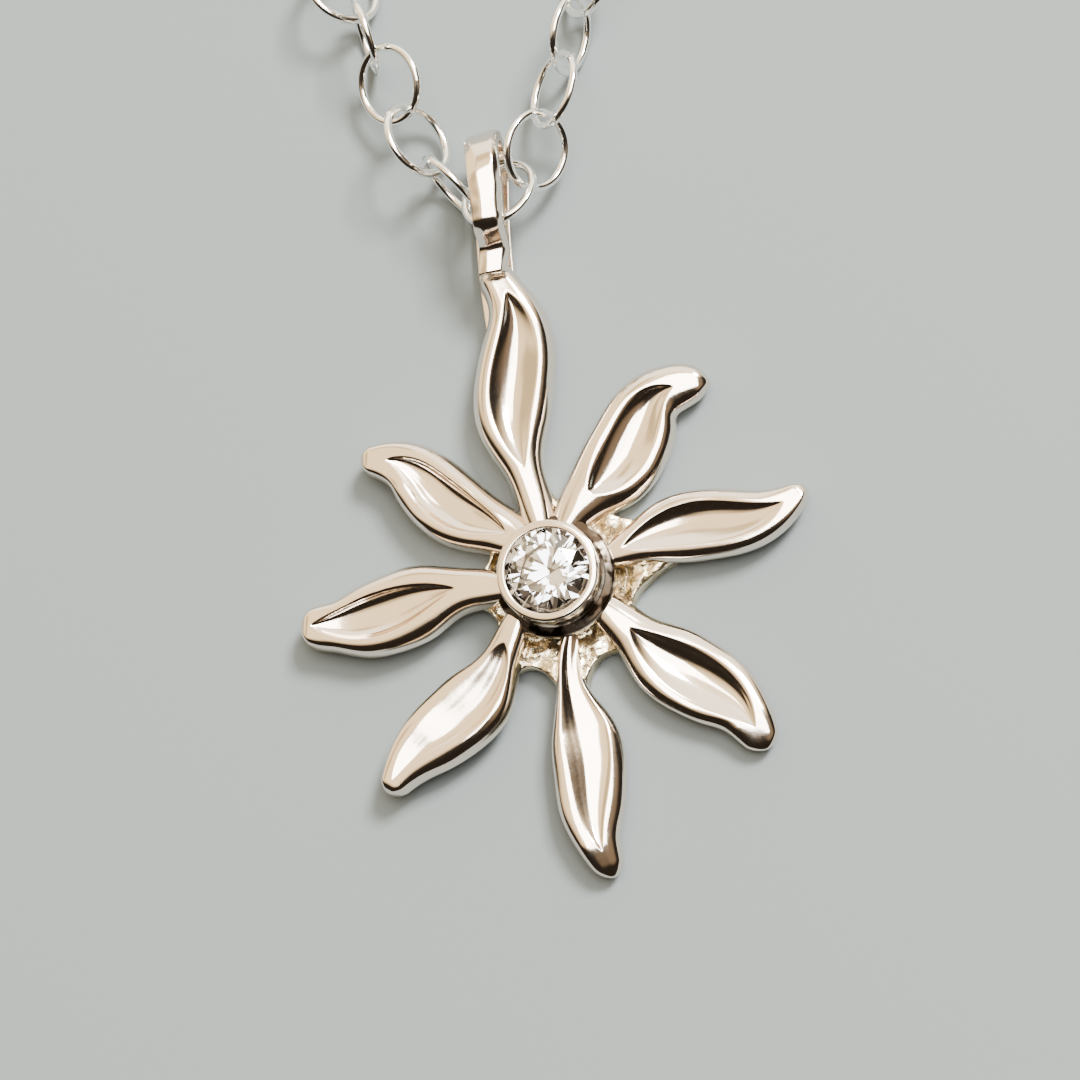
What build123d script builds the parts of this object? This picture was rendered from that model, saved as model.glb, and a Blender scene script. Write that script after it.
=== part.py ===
# North star pendant: eight cast petals round a set stone, on a chain of round links.
# Millimetres. +Y is north, towards the clasp, and +Z is up out of the pendant's face.
# It lies face up, as on a table, with its flat back at z = 0.
import math
import os
from collections import namedtuple

from build123d import *

# Stone, a round brilliant, with its heights as angles and shares of its radius
stone_dia = 3.5
stone_table = 0.57
crown_angle = 34.5
star_angle = 22.0
upper_girdle_angle = 41.0
pavilion_angle = 40.8
lower_girdle_angle = 41.3
girdle_thickness = 0.1

# Setting: a tube with a turned-in lip, on a wider collar
stone_clearance = 0.05
bezel_wall = 0.2
bezel_lip = 0.09
bezel_above_girdle = 0.3
bezel_above_collar = 1.3
collar_step = 0.42
collar_chamfer = 0.2
collar_above_petals = 0.05

# Cast plate behind the petals
plate_thickness = 0.9
ray_tip_width = 0.8
valley_round = 0.6

# Petals
petal_lift = 0.35
petal_thickness = 1.35
petal_dish = 0.8
petal_root_sink = 0.35
foot_share = 0.7
widest_share = 0.4
shoulder_share = 0.35

# One row for each petal. Angles are about the stone, counter-clockwise from east. reach is the
# tip's distance from the stone's middle and belly the greatest width. bow, sway and curl are
# shares of the length by which the middle line leaves the straight, once, twice and three times
# to and fro. fullest is the share of the length where it is widest. root and neck are the widths
# at the setting and a fifth of the way out, as shares of the belly. ray is the share of the
# length that the plate's ray behind it reaches, and web is how far the plate's edge is from the
# stone's middle on the way to the ray that comes next, counter-clockwise.
Petal = namedtuple("Petal", "root_angle tip_angle reach belly bow sway curl fullest root neck ray web")
petals = {
    "north": Petal(98, 92.9, 12.3, 3.1, -0.01, 0.04, -0.02, 0.55, 0.30, 0.44, 0.36, 2.9),
    "north_east": Petal(71, 42.7, 9.7, 3.2, 0.09, -0.05, 0.03, 0.45, 0.32, 0.70, 0.30, 2.9),
    "east": Petal(11, 9.4, 10.3, 2.8, -0.01, 0.04, -0.01, 0.46, 0.24, 0.66, 0.64, 3.8),
    "south_east": Petal(-39.5, -49.1, 10.6, 3.1, 0.03, -0.03, 0.01, 0.50, 0.42, 0.62, 0.34, 3.6),
    "south": Petal(-81, -88.5, 11.8, 2.8, -0.04, 0.0, -0.02, 0.56, 0.16, 0.44, 0.30, 3.9),
    "south_west": Petal(-146, -137.9, 10.6, 3.0, 0.05, 0.03, -0.01, 0.52, 0.30, 0.54, 0.30, 4.0),
    "west": Petal(-179, -180.4, 10.4, 3.15, 0.0, -0.03, 0.0, 0.52, 0.34, 0.60, 0.30, 2.9),
    "north_west": Petal(122, 138.8, 9.35, 2.9, -0.03, 0.04, -0.02, 0.46, 0.44, 0.76, 0.30, 2.9),
}

# Sections of a petal from root to tip. along is a share of its length. The width there is made
# up of shares of its root, neck and belly. hollow is the hollow's share of that width, and
# height and dish are shares of the petal's thickness and of the hollow's depth.
Section = namedtuple("Section", "along root neck belly hollow height dish")
petal_sections = [
    Section(0.00, 1.0, 0.0, 0.00, 0.10, 0.88, 0.02),
    Section(0.10, 0.5, 0.5, 0.00, 0.12, 0.90, 0.05),
    Section(0.22, 0.0, 1.0, 0.00, 0.30, 0.97, 0.25),
    Section(0.38, 0.0, 0.0, 0.93, 0.58, 1.00, 0.90),
    Section(0.55, 0.0, 0.0, 1.00, 0.62, 1.00, 1.00),
    Section(0.71, 0.0, 0.0, 0.88, 0.56, 1.00, 0.85),
    Section(0.84, 0.0, 0.0, 0.64, 0.38, 0.95, 0.40),
    Section(0.93, 0.0, 0.0, 0.44, 0.15, 0.88, 0.05),
    Section(0.985, 0.0, 0.0, 0.26, 0.12, 0.72, 0.02),
    Section(1.00, 0.0, 0.0, 0.12, 0.10, 0.55, 0.01),
]

# Chain of round links
chain_length = 457.2
link_outer = 3.3
link_wire = 0.31
link_gap = 0.12
link_tilt = 45.0
leg_angle = 21.0

# The links nearest the bail, from the joint inside it outwards. heading is the way the chain
# runs, counter-clockwise from east, and height that of the link's outer joint, as a share of the
# resting chain's. tilt leans the link over from lying flat, and span is the share of a taut
# link's stretch.
NearLink = namedtuple("NearLink", "heading height tilt span")
near_left = [
    NearLink(127, 1.43, -80, 0.98),
    NearLink(105, 1.62, -124, 1.00),
    NearLink(109, 1.66, -34, 1.00),
    NearLink(105, 1.02, 103, 0.94),
]
near_right = [
    NearLink(13, 1.91, -32, 0.92),
    NearLink(60, 1.84, 56, 1.00),
    NearLink(72, 1.68, -49, 1.00),
    NearLink(63, 1.02, 78, 0.98),
]
joint_east = -0.82
joint_south = 0.52

# Bail, a strip folded over the chain, its front end on the north petal's tip and its back end
# behind the petal. The east positions are those of the strip's middle line.
bail_width = 1.4
bail_front_end_width = 1.1
bail_strip = 0.5
bail_clearance = 0.3
bail_above_petal = 5.4
bail_front_lap = 0.4
bail_back_lap = 2.4
bail_end_proud = 0.6
bail_end_depth = 0.95
bail_fold_east = 0.06
bail_front_end_east = -0.38
bail_back_end_east = -0.65

# Spring ring clasp, shut on the chain's end ring
clasp_radius = 2.6
clasp_tube = 0.5
clasp_eye_radius = 0.95
clasp_eye_wire = 0.25
end_ring_wire = 0.25
end_ring_tilt = 60.0

stone_radius = stone_dia / 2
bezel_radius = stone_radius + stone_clearance + bezel_wall
collar_radius = bezel_radius + collar_step


def polar(radius, degrees):
    return Vector(radius * math.cos(math.radians(degrees)), radius * math.sin(math.radians(degrees)))


def tan(degrees):
    return math.tan(math.radians(degrees))


# Heights of the stone and its setting, from the plate up
crown_height = stone_radius * (1 - stone_table) * tan(crown_angle)
pavilion_depth = stone_radius * tan(pavilion_angle)
collar_top = petal_lift + petal_thickness + collar_above_petals
bezel_top = collar_top + bezel_above_collar
girdle_top = bezel_top - bezel_above_girdle
girdle_bottom = girdle_top - girdle_thickness
culet_height = girdle_bottom - pavilion_depth
well_radius = stone_radius * 0.7
seat_drop = stone_clearance / math.cos(math.radians(pavilion_angle))


def build_stone():
    """The brilliant: a short cylinder cut by one plane for each facet."""
    tiers = namedtuple("Tier", "count offset slope radius height")
    table_reach = stone_radius * stone_table
    star_reach = table_reach * math.cos(math.radians(22.5))
    crown_top = girdle_top + crown_height
    crown = [
        tiers(8, 0.0, crown_angle, stone_radius, girdle_top),
        tiers(8, 22.5, star_angle, star_reach, crown_top),
        tiers(16, 11.25, upper_girdle_angle, stone_radius, girdle_top),
    ]
    pavilion = [
        tiers(8, 0.0, pavilion_angle, stone_radius, girdle_bottom),
        tiers(16, 11.25, lower_girdle_angle, stone_radius, girdle_bottom),
    ]
    height = crown_top - culet_height
    stone = Pos(0, 0, culet_height) * Cylinder(
        stone_radius, height, align=(Align.CENTER, Align.CENTER, Align.MIN)
    )
    for side, rows in ((1, crown), (-1, pavilion)):
        for row in rows:
            for turn in range(row.count):
                bearing = row.offset + turn * 360 / row.count
                outward = polar(math.sin(math.radians(row.slope)), bearing)
                normal = outward + Vector(0, 0, side * math.cos(math.radians(row.slope)))
                point = polar(row.radius, bearing) + Vector(0, 0, row.height)
                stone = split(stone, bisect_by=Plane(origin=point, z_dir=normal), keep=Keep.BOTTOM)
    return stone


def build_hub():
    """Collar and bezel tube, turned about the stone's axis, with the stone's seat left open."""
    outline = Polyline(
        (0, 0),
        (collar_radius, 0),
        (collar_radius, collar_top - collar_chamfer),
        (collar_radius - collar_chamfer, collar_top),
        (bezel_radius, collar_top),
        (bezel_radius, bezel_top - bezel_wall / 2),
        (bezel_radius - bezel_wall / 2, bezel_top),
        (0, bezel_top),
        close=True,
    )
    return revolve(Plane.XZ * make_face(outline), Axis.Z)


def build_well():
    """The space for the stone: mouth, girdle groove, seat cone and the well under the culet."""
    groove = stone_radius + stone_clearance
    mouth = stone_radius - bezel_lip
    lip_over_stone = (stone_radius - mouth * math.cos(math.radians(11.25))) * tan(upper_girdle_angle)
    lip_height = girdle_top + lip_over_stone + stone_clearance
    cone_top = girdle_bottom - seat_drop + stone_clearance * tan(pavilion_angle)
    cone_foot = cone_top - (groove - well_radius) * tan(pavilion_angle)
    outline = Polyline(
        (0, culet_height - seat_drop),
        (well_radius, culet_height - seat_drop),
        (well_radius, cone_foot),
        (groove, cone_top),
        (groove, girdle_top + stone_clearance),
        (mouth, lip_height),
        (mouth, bezel_top + crown_height),
        (0, bezel_top + crown_height),
        close=True,
    )
    return revolve(Plane.XZ * make_face(outline), Axis.Z)


def petal_ends(petal):
    root = polar(collar_radius - petal_root_sink, petal.root_angle)
    tip = polar(petal.reach, petal.tip_angle)
    return root, tip


def petal_point(petal, along):
    """Point and direction of a petal's middle line, a chord bent by three sine waves."""
    root, tip = petal_ends(petal)
    chord = tip - root
    side = Vector(-chord.Y, chord.X)
    waves = ((1, petal.bow), (2, petal.sway), (3, petal.curl))
    offset = sum(share * math.sin(n * math.pi * along) for n, share in waves)
    slope = sum(share * n * math.pi * math.cos(n * math.pi * along) for n, share in waves)
    return root + chord * along + side * offset, (chord + side * slope).normalized()


def quarter(outer, inner):
    """An arc that leaves outer upwards and comes level at inner, close to a quarter of an ellipse."""
    share = math.sqrt(0.5)
    middle = (inner[0] + (outer[0] - inner[0]) * share, outer[1] + (inner[1] - outer[1]) * share)
    return ThreePointArc(outer, middle, inner)


def petal_profile(half, rise, hollow, dish):
    """A section: flat foot, round flanks, a round rim each side and a hollow between the rims."""
    foot = half * foot_share
    crest = (half + hollow) / 2
    widest = rise * widest_share
    shoulder = rise - dish * shoulder_share
    floor = ThreePointArc((hollow, shoulder), (0, rise - dish), (-hollow, shoulder))
    edges = [floor, Line((-foot, 0), (foot, 0))]
    for side in (1, -1):
        edges.append(Line((side * foot, 0), (side * half, widest)))
        edges.append(quarter((side * half, widest), (side * crest, rise)))
        edges.append(quarter((side * hollow, shoulder), (side * crest, rise)))
    return make_face(Curve() + edges)


def build_petal(petal):
    faces = []
    for section in petal_sections:
        along = section.along + (petal.fullest - 0.5) * math.sin(math.pi * section.along) ** 2
        width = section.root * petal.root + section.neck * petal.neck + section.belly
        half = petal.belly * width / 2
        point, direction = petal_point(petal, along)
        plane = Plane(
            origin=point + Vector(0, 0, petal_lift),
            x_dir=Vector(-direction.Y, direction.X),
            z_dir=direction,
        )
        rise = petal_thickness * section.height
        faces.append(plane * petal_profile(half, rise, half * section.hollow, petal_dish * section.dish))
    return loft(faces)


def build_plate():
    """The cast web: a blunt ray behind each petal, with round valleys between."""
    rays = []
    for petal in petals.values():
        point, direction = petal_point(petal, petal.ray)
        side = Vector(-direction.Y, direction.X) * (ray_tip_width / 2)
        bearing = math.degrees(math.atan2(point.Y, point.X)) % 360
        rays.append((bearing, point - side, point + side, petal.web))
    rays.sort(key=lambda ray: ray[0])
    corners = []
    valleys = []
    for ray, following in zip(rays, rays[1:] + rays[:1]):
        valley = polar(ray[3], ray[0] + ((following[0] - ray[0]) % 360) / 2)
        valleys.append(valley)
        corners += [ray[1], ray[2], valley]
    web = make_face(Polyline(*corners, close=True))
    inner = [v for v in web.vertices() if min((Vector(v) - valley).length for valley in valleys) < 1e-6]
    return extrude(fillet(inner, valley_round), plate_thickness)


# Links rest on the table at this tilt, so this is the height of the chain's middle line
link_radius = (link_outer - link_wire) / 2
chain_height = link_radius * math.sin(math.radians(link_tilt)) + link_wire / 2

# The bail's fold, and its front end inside the petal's tip
bail_inner = chain_height + bail_clearance
bail_outer = bail_inner + bail_strip
petal_tip = petal_ends(petals["north"])[1]
bail_north = petal_tip.Y + bail_above_petal
fold_middle = bail_north - bail_outer
bail_south = petal_tip.Y - bail_front_lap
bail_end_top = petal_lift + petal_thickness + bail_end_proud


def arch(run, start, end):
    """A curve that leaves the fold level at the height start and comes down to end over this run."""
    bow = (run**2 + (start - end) ** 2) / (2 * (start - end))
    middle = fold_middle - run / 2
    level = start - bow + math.sqrt(bow**2 - (run / 2) ** 2)
    return ThreePointArc((fold_middle, start), (middle, level), (fold_middle - run, end))


def bail_outline(south, end_east, end_width, height):
    """A block over the strip's plan, from the fold to an end that lies this far south and east."""
    corners = [
        (bail_fold_east - bail_width / 2, bail_north),
        (bail_fold_east + bail_width / 2, bail_north),
        (end_east + end_width / 2, south),
        (end_east - end_width / 2, south),
    ]
    return extrude(make_face(Polyline(*corners, close=True)), height)


def build_bail():
    """The strip's side view, drawn out and cut to its plan, with a back that runs on behind the petal."""
    run = fold_middle - bail_south
    top = 2 * bail_outer
    outer = arch(run, top, bail_end_top)
    inner = arch(run, top - bail_strip, bail_end_top - bail_end_depth)
    fold = ThreePointArc((fold_middle, 0), (bail_north, bail_outer), (fold_middle, top))
    hollow = ThreePointArc(
        (fold_middle, bail_strip),
        (fold_middle + bail_inner, bail_outer),
        (fold_middle, top - bail_strip),
    )
    ends = [Line(outer @ 1, inner @ 1), Line((fold_middle, 0), (fold_middle, bail_strip))]
    side = Plane.YZ * make_face(Curve() + [fold, outer, inner, hollow] + ends)
    drawn = extrude(side, 2 * bail_width, both=True)
    front = drawn & bail_outline(bail_south, bail_front_end_east, bail_front_end_width, top)
    back_south = petal_tip.Y - bail_back_lap
    back = bail_outline(back_south, bail_back_end_east, bail_width, bail_strip)
    beyond = Pos(0, fold_middle, 0) * Box(
        4 * bail_width,
        2 * bail_outer,
        bail_strip,
        align=(Align.CENTER, Align.MIN, Align.MIN),
    )
    return front + (back - beyond)


def build_star():
    """Plate, petals, setting and bail, soldered into one piece of silver."""
    pieces = [build_petal(petal) for petal in petals.values()]
    metal = build_hub().fuse(build_plate(), build_bail(), *pieces)
    return metal - build_well()


class Ring(namedtuple("Ring", "centre along normal radius wire")):
    """A round link: its middle, the way the chain runs, the axis it turns about and its two radii."""

    def solid(self):
        plane = Plane(origin=self.centre, x_dir=self.along, z_dir=self.normal)
        return plane * Torus(self.radius, self.wire)


def ring_between(start, end, tilt, radius, wire):
    """The ring whose chain line runs from start to end, leaned over that line by tilt from lying flat."""
    along = (end - start).normalized()
    sideways = Vector(0, 0, 1).cross(along).normalized()
    normal = along.cross(sideways).rotate(Axis((0, 0, 0), along), tilt)
    return Ring((start + end) / 2, along, normal, radius, wire)


def reach(radius, wire):
    """How far a ring's joint lies from its middle."""
    return radius - wire - link_gap / 2


link_span = 2 * reach(link_radius, link_wire / 2)


def near_chain(rows):
    """The links of a table, from the joint in the bail outwards, and their outermost joint."""
    joint = Vector(joint_east, fold_middle - joint_south, bail_outer)
    rings = []
    for row in rows:
        span = link_span * row.span
        climb = chain_height * row.height - joint.Z
        step = polar(math.sqrt(span**2 - climb**2), row.heading) + Vector(0, 0, climb)
        rings.append(ring_between(joint, joint + step, row.tilt, link_radius, link_wire / 2))
        joint = joint + step
    return rings, joint


def loop_joints(start, end, spans):
    """Joints of the far side: a straight leg, a round and a leg back, as long as the spans."""
    leg = math.radians(leg_angle)
    across = (end.X - start.X) / math.sin(leg)
    uneven = (start.Y - end.Y) / math.cos(leg)
    turn = math.pi + 2 * leg
    radius = (sum(spans) + across) / (2 / math.tan(leg) + turn)
    first_leg = radius / math.tan(leg) - (across + uneven) / 2
    centre = start + polar(first_leg, 90 + leg_angle) + polar(radius, leg_angle)
    joints = [start]
    travel = 0
    for span in spans[:-1]:
        travel += span
        past_leg = travel - first_leg
        past_round = past_leg - radius * turn
        if past_leg < 0:
            joints.append(start + polar(travel, 90 + leg_angle))
        elif past_round < 0:
            joints.append(centre + polar(radius, 180 + leg_angle - math.degrees(past_leg / radius)))
        else:
            joints.append(centre + polar(radius, -leg_angle) + polar(past_round, -90 - leg_angle))
    return joints + [end]


def build_clasp(start, end, lean):
    """A spring ring and its eye in one plane, leaned so that the chain's line runs through both."""
    tilt = lean * math.degrees(math.asin((chain_height - clasp_tube) / clasp_radius))
    whole = ring_between(start, end, tilt, clasp_radius, clasp_tube)
    eye_middle = start + whole.along * reach(clasp_eye_radius, clasp_eye_wire)
    ring_middle = end - whole.along * reach(clasp_radius, clasp_tube)
    eye = whole._replace(centre=eye_middle, radius=clasp_eye_radius, wire=clasp_eye_wire)
    return whole._replace(centre=ring_middle).solid() + eye.solid()


def build_chain():
    """The whole loop: the links from the bail out on each side, then the far side and clasp."""
    left, left_joint = near_chain(near_left)
    right, right_joint = near_chain(near_right)
    end_ring_radius = (chain_height - end_ring_wire) / math.sin(math.radians(end_ring_tilt))
    end_span = 2 * reach(end_ring_radius, end_ring_wire)
    clasp_span = reach(clasp_eye_radius, clasp_eye_wire) + clasp_eye_radius
    clasp_span += clasp_radius + reach(clasp_radius, clasp_tube)
    near_length = link_span * sum(row.span for row in near_left + near_right)
    links_left = (chain_length - near_length - clasp_span - end_span) / link_span

    # Rings lean to and fro all the way round, so an odd number of links is left
    pairs = round((links_left - 1) / 2)
    spans = [link_span] * (pairs + 1) + [clasp_span, end_span] + [link_span] * pairs
    joints = loop_joints(left_joint, right_joint, spans)
    pieces = {}
    for index, (start, end) in enumerate(zip(joints, joints[1:])):
        lean = -1 if index % 2 else 1
        if index <= pairs:
            left.append(ring_between(start, end, lean * link_tilt, link_radius, link_wire / 2))
        elif index == pairs + 1:
            pieces["clasp"] = build_clasp(start, end, lean)
        elif index == pairs + 2:
            tilt = lean * end_ring_tilt
            pieces["end_ring"] = ring_between(start, end, tilt, end_ring_radius, end_ring_wire).solid()
        else:
            right.append(ring_between(start, end, lean * link_tilt, link_radius, link_wire / 2))
    pieces["chain_left"] = Compound([ring.solid() for ring in left])
    pieces["chain_right"] = Compound([ring.solid() for ring in right])
    return pieces


nodes = {"star": build_star(), "round_stone": build_stone()} | build_chain()

# The origin is under the middle of the whole necklace's box
box = Compound([node for node in nodes.values()]).bounding_box()
to_origin = Pos(-box.center().X, -box.center().Y, -box.min.Z)
os.makedirs("parts", exist_ok=True)
for name, node in nodes.items():
    export_step(to_origin * node, f"parts/{name}.step")
size = box.size
print(f"necklace {size.X:.2f} x {size.Y:.2f} x {size.Z:.2f} mm, stone's middle at {to_origin.position}")
print(f"links {len(nodes['chain_left'].solids())} left, {len(nodes['chain_right'].solids())} right")
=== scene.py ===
# A north star pendant on its chain of round links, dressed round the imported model.
# Lengths in the dictionaries are millimetres. Places are from the stone's middle and heights are over the
# table, with +Y towards the clasp and +Z out of the face.
import math
from collections import namedtuple

import bpy
import numpy as np
from mathutils import Matrix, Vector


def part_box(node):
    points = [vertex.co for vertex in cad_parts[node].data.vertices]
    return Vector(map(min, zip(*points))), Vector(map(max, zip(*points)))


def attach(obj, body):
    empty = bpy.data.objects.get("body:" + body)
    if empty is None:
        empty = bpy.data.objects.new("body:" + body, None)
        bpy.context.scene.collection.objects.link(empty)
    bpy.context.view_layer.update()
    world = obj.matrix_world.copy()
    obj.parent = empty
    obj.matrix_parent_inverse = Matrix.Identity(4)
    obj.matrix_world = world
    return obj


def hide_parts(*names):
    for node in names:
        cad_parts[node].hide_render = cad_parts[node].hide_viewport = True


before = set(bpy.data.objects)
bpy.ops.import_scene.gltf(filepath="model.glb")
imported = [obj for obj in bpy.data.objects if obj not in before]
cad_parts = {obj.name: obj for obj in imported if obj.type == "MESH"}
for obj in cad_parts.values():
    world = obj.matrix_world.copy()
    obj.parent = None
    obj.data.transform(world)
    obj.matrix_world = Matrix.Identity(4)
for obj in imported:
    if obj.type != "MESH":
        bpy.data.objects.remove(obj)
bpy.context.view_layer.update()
mm = 0.001
stoneBox = np.array(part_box("round_stone"))
hub = stoneBox.mean(axis=0) * (1, 1, 0)
print("frame loaded")


def linearColor(hexText):
    # each sRGB channel goes to linear light by the standard's curve
    channels = [int(hexText[i : i + 2], 16) / 255 for i in (1, 3, 5)]
    linear = [c / 12.92 if c <= 0.04045 else ((c + 0.055) / 1.055) ** 2.4 for c in channels]
    return (*linear, 1.0)


def addNode(tree, kind, settings=None, links=None):
    # one node, with its own settings by attribute or socket, and its links by socket
    node = tree.nodes.new(kind)
    for key, value in (settings or {}).items():
        if isinstance(key, int) or key in node.inputs.keys():
            node.inputs[key].default_value = value
        else:
            setattr(node, key, value)
    for key, source in (links or {}).items():
        tree.links.new(source, node.inputs[key])
    return node


def newMaterial(name, settings):
    material = bpy.data.materials.new(name)
    material.use_nodes = True
    tree = material.node_tree
    tree.nodes.clear()
    shader = addNode(tree, "ShaderNodeBsdfPrincipled", settings)
    addNode(tree, "ShaderNodeOutputMaterial", links={"Surface": shader.outputs["BSDF"]})
    return material, tree, shader


def unit(vectors):
    return vectors / np.linalg.norm(vectors, axis=-1, keepdims=True)


def polarPoint(radius, degrees):
    # a level step of this length, its bearing counter-clockwise from east
    angle = np.radians(degrees)
    return np.stack([radius * np.cos(angle), radius * np.sin(angle), 0 * angle], axis=-1)


def skyward(bearing, elevation):
    # the direction of something seen on this bearing and this far over the horizon
    height = math.radians(elevation)
    return polarPoint(math.cos(height), bearing) + (0, 0, math.sin(height))


def facing(position, back, up):
    # a frame whose Z points back along the view and whose Y is as near to up as it can be
    right = unit(np.cross(up, back))
    matrix = np.eye(4)
    matrix[:3, :3] = np.stack([right, np.cross(back, right), back], axis=1)
    matrix[:3, 3] = position
    return Matrix(matrix.tolist())


def smoothStep(share):
    # an S-shaped rise from 0 to 1: three times the square less twice the cube
    share = np.clip(share, 0, 1)
    return share**2 * (3 - 2 * share)


def smoothCurve(keys, values, where):
    # the natural cubic spline through the keys: its bends come from one small linear system
    keys, values = np.asarray(keys, float), np.asarray(values, float)
    gaps = np.diff(keys)
    inner = np.arange(1, len(keys) - 1)
    system = np.eye(len(keys))
    system[inner, inner - 1] = gaps[:-1]
    system[inner, inner] = 2 * (gaps[:-1] + gaps[1:])
    system[inner, inner + 1] = gaps[1:]
    wanted = np.zeros(len(keys))
    wanted[1:-1] = 6 * np.diff(np.diff(values) / gaps)
    bend = np.linalg.solve(system, wanted)
    i = np.clip(np.searchsorted(keys, where) - 1, 0, len(keys) - 2)
    before = (keys[i + 1] - where) / gaps[i]
    after = 1 - before
    curve = (before**3 - before) * bend[i] + (after**3 - after) * bend[i + 1]
    return before * values[i] + after * values[i + 1] + curve * gaps[i] ** 2 / 6


def ripple(points, wavelength, height, seed, waves=7, spread=(0.7, 1.5)):
    # sine waves in random directions, each about this long, added up to about this height
    random = np.random.default_rng(seed)
    directions = random.normal(size=(waves, 3))
    directions /= np.linalg.norm(directions, axis=1, keepdims=True)
    lengths = wavelength * random.uniform(*spread, (waves, 1))
    phases = random.uniform(0, 2 * math.pi, waves)
    turns = points @ (2 * math.pi * directions / lengths).T + phases
    return height * np.sin(turns).sum(-1) / math.sqrt(waves)


def roundedCorners(corners, radii, steps=5):
    # a closed outline whose corners become quadratic curves that start and end this far from the corner
    corners = np.asarray(corners, float)
    radii = np.asarray(radii, float)[:, None]
    before = corners + unit(np.roll(corners, 1, axis=0) - corners) * radii
    after = corners + unit(np.roll(corners, -1, axis=0) - corners) * radii
    t = np.linspace(0, 1, steps)[:, None, None]
    curve = (1 - t) ** 2 * before + 2 * t * (1 - t) * corners + t**2 * after
    return curve.transpose(1, 0, 2).reshape(-1, 2)


def gridFaces(index, wrapRows):
    # four corners a face on grids whose columns close on themselves; rows close too where wrapRows says so
    following = np.roll(index, -1, axis=2)
    if wrapRows:
        corners = (index, following, np.roll(following, -1, axis=1), np.roll(index, -1, axis=1))
    else:
        corners = (index[:, :-1], following[:, :-1], following[:, 1:], index[:, 1:])
    return np.stack(corners, axis=-1).reshape(-1, 4)


def buildPiece(name, points, material, wrapRows=False, nodes=(), slot="pendant_silver"):
    # points are laid out by part, row and column; open rows end in a fan to their middle
    parts, rows, columns = points.shape[:3]
    index = np.arange(parts * rows * columns).reshape(parts, rows, columns)
    vertices = points.reshape(-1, 3)
    faces = gridFaces(index, wrapRows)
    fans = np.empty((0, 3), int)
    if not wrapRows:
        ends = np.stack([points[:, 0].mean(axis=1), points[:, -1].mean(axis=1)], axis=1).reshape(-1, 3)
        poles = (len(vertices) + np.arange(parts * 2)).reshape(parts, 2, 1)
        vertices = np.concatenate([vertices, ends])
        rings = np.stack([index[:, 0], index[:, -1, ::-1]], axis=1)
        fans = np.stack(np.broadcast_arrays(poles, np.roll(rings, -1, axis=2), rings), axis=-1).reshape(-1, 3)
    # faces point outwards where the volume that they enclose is positive
    a, b, c, d = (vertices[faces[:, i]] for i in range(4))
    volume = np.einsum("ij,ij->", a, np.cross(b, c)) + np.einsum("ij,ij->", a, np.cross(c, d))
    if volume < 0:
        faces, fans = faces[:, ::-1], fans[:, ::-1]
    finishPiece(name, vertices, faces.tolist() + fans.tolist(), material, nodes, slot)


def finishPiece(name, vertices, faces, material, nodes, slot, smooth=True):
    mesh = bpy.data.meshes.new(name)
    mesh.from_pydata((vertices * mm + hub).tolist(), [], faces)
    mesh.validate()
    if smooth:
        mesh.shade_smooth()
    piece = bpy.data.objects.new(name, mesh)
    bpy.context.scene.collection.objects.link(piece)
    mesh.materials.append(material)
    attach(piece, "root")
    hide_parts(*nodes)


def objectPattern(tree, kind, size, settings=None):
    # a pattern whose features are about this many millimetres across
    place = addNode(tree, "ShaderNodeTexCoord")
    scaled = {"Scale": 1 / (size * mm), **(settings or {})}
    return addNode(tree, kind, scaled, {"Vector": place.outputs["Object"]})


def polishedSilver():
    # cast sterling silver, hand polished: mirror bright and a little warm, with soft waves left by the
    # buffing wheel and its fine marks, which are drawn coarser than real ones so that they show
    look = {
        "color": "#EFE3D6",
        "roughness": (0.07, 0.16),
        "wave": 1.1,
        "waveDepth": 0.006,
        "grain": 0.12,
        "grainDepth": 0.0007,
    }
    settings = {"Base Color": linearColor(look["color"]), "Metallic": 1.0}
    material, tree, shader = newMaterial("polishedCastSilver", settings)
    waves = objectPattern(tree, "ShaderNodeTexNoise", look["wave"], {"Detail": 2.0})
    grain = objectPattern(tree, "ShaderNodeTexNoise", look["grain"], {"Detail": 3.0})
    low, high = look["roughness"]
    limits = {"To Min": low, "To Max": high}
    spread = addNode(tree, "ShaderNodeMapRange", limits, {"Value": grain.outputs["Fac"]})
    tree.links.new(spread.outputs["Result"], shader.inputs["Roughness"])
    depth = {"Distance": look["waveDepth"] * mm}
    coarse = addNode(tree, "ShaderNodeBump", depth, {"Height": waves.outputs["Fac"]})
    fine = addNode(
        tree,
        "ShaderNodeBump",
        {"Distance": look["grainDepth"] * mm},
        {"Height": grain.outputs["Fac"], "Normal": coarse.outputs["Normal"]},
    )
    tree.links.new(fine.outputs["Normal"], shader.inputs["Normal"])
    return material


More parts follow.
